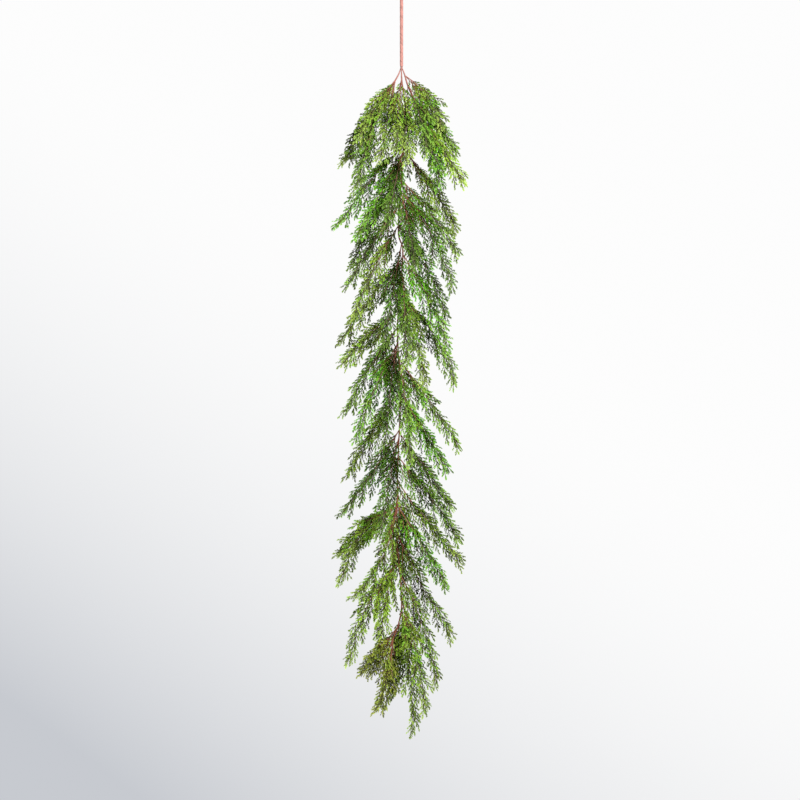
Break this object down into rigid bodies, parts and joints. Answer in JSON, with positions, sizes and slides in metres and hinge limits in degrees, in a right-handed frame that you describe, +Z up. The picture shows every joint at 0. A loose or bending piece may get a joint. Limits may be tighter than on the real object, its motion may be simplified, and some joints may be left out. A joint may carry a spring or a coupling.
{
  "type": "door garland",
  "caption": "Slim hanging garland of feathery evergreen sprays on three paper-wrapped wires, with a wire loop at the top to hang it beside a door.",
  "frame": {"origin": "the point inside the top of the wire loop where a hook bears", "axes": "+Z up, against the pull of the garland's weight; the front of the garland faces -Y; +X to the right in the picture"},
  "size_m": [0.2922, 0.1674, 1.7026],
  "materials": {
    "wrapped_wire": "steel wire wrapped in matt salmon-pink paper tape",
    "wrapped_bark": "steel wire wrapped in matt red-brown paper tape",
    "olive": "moulded leaflets, satin olive green",
    "grey_green": "moulded leaflets, satin grey-green",
    "deep": "moulded leaflets, satin deep green",
    "fresh": "moulded leaflets, satin bright green",
    "light": "moulded leaflets, satin light yellow-green",
    "russet": "moulded leaflets, satin brownish green"
  },
  "bodies": {
    "root": {"hanging_loop": "wrapped_wire", "left_wire": "wrapped_wire", "main_wire": "wrapped_bark", "right_wire": "wrapped_wire", "spray_back_01": "olive", "spray_front_01": "olive", "spray_front_02": "olive", "spray_front_03": "deep", "spray_front_04": "deep", "spray_front_05": "deep", "spray_front_06": "grey_green", "spray_front_07": "deep", "spray_front_08": "grey_green", "spray_front_09": "deep", "spray_front_10": "fresh", "spray_left_01": "olive", "spray_left_02": "olive", "spray_left_03": "grey_green", "spray_left_04": "fresh", "spray_left_05": "fresh", "spray_left_06": "grey_green", "spray_left_07": "grey_green", "spray_left_08": "olive", "spray_left_09": "olive", "spray_left_10": "olive", "spray_left_11": "grey_green", "spray_left_12": "olive", "spray_left_13": "deep", "spray_left_14": "olive", "spray_left_15": "olive", "spray_left_16": "light", "spray_left_17": "light", "spray_left_18": "russet", "spray_left_19": "olive", "spray_left_20": "olive", "spray_left_21": "russet", "spray_right_01": "olive", "spray_right_02": "grey_green", "spray_right_03": "light", "spray_right_04": "olive", "spray_right_05": "grey_green", "spray_right_06": "deep", "spray_right_07": "deep", "spray_right_08": "fresh", "spray_right_09": "grey_green", "spray_right_10": "olive", "spray_right_11": "grey_green", "spray_right_12": "fresh", "spray_right_13": "grey_green", "spray_right_14": "olive", "spray_right_15": "fresh", "spray_right_16": "olive", "spray_right_17": "olive", "spray_right_18": "grey_green", "spray_right_19": "fresh", "spray_right_20": "grey_green", "spray_tip_front": "olive", "spray_tip_left": "olive", "spray_tip_right": "light", "tape_wrap": "wrapped_wire"}
  },
  "joints": []
}
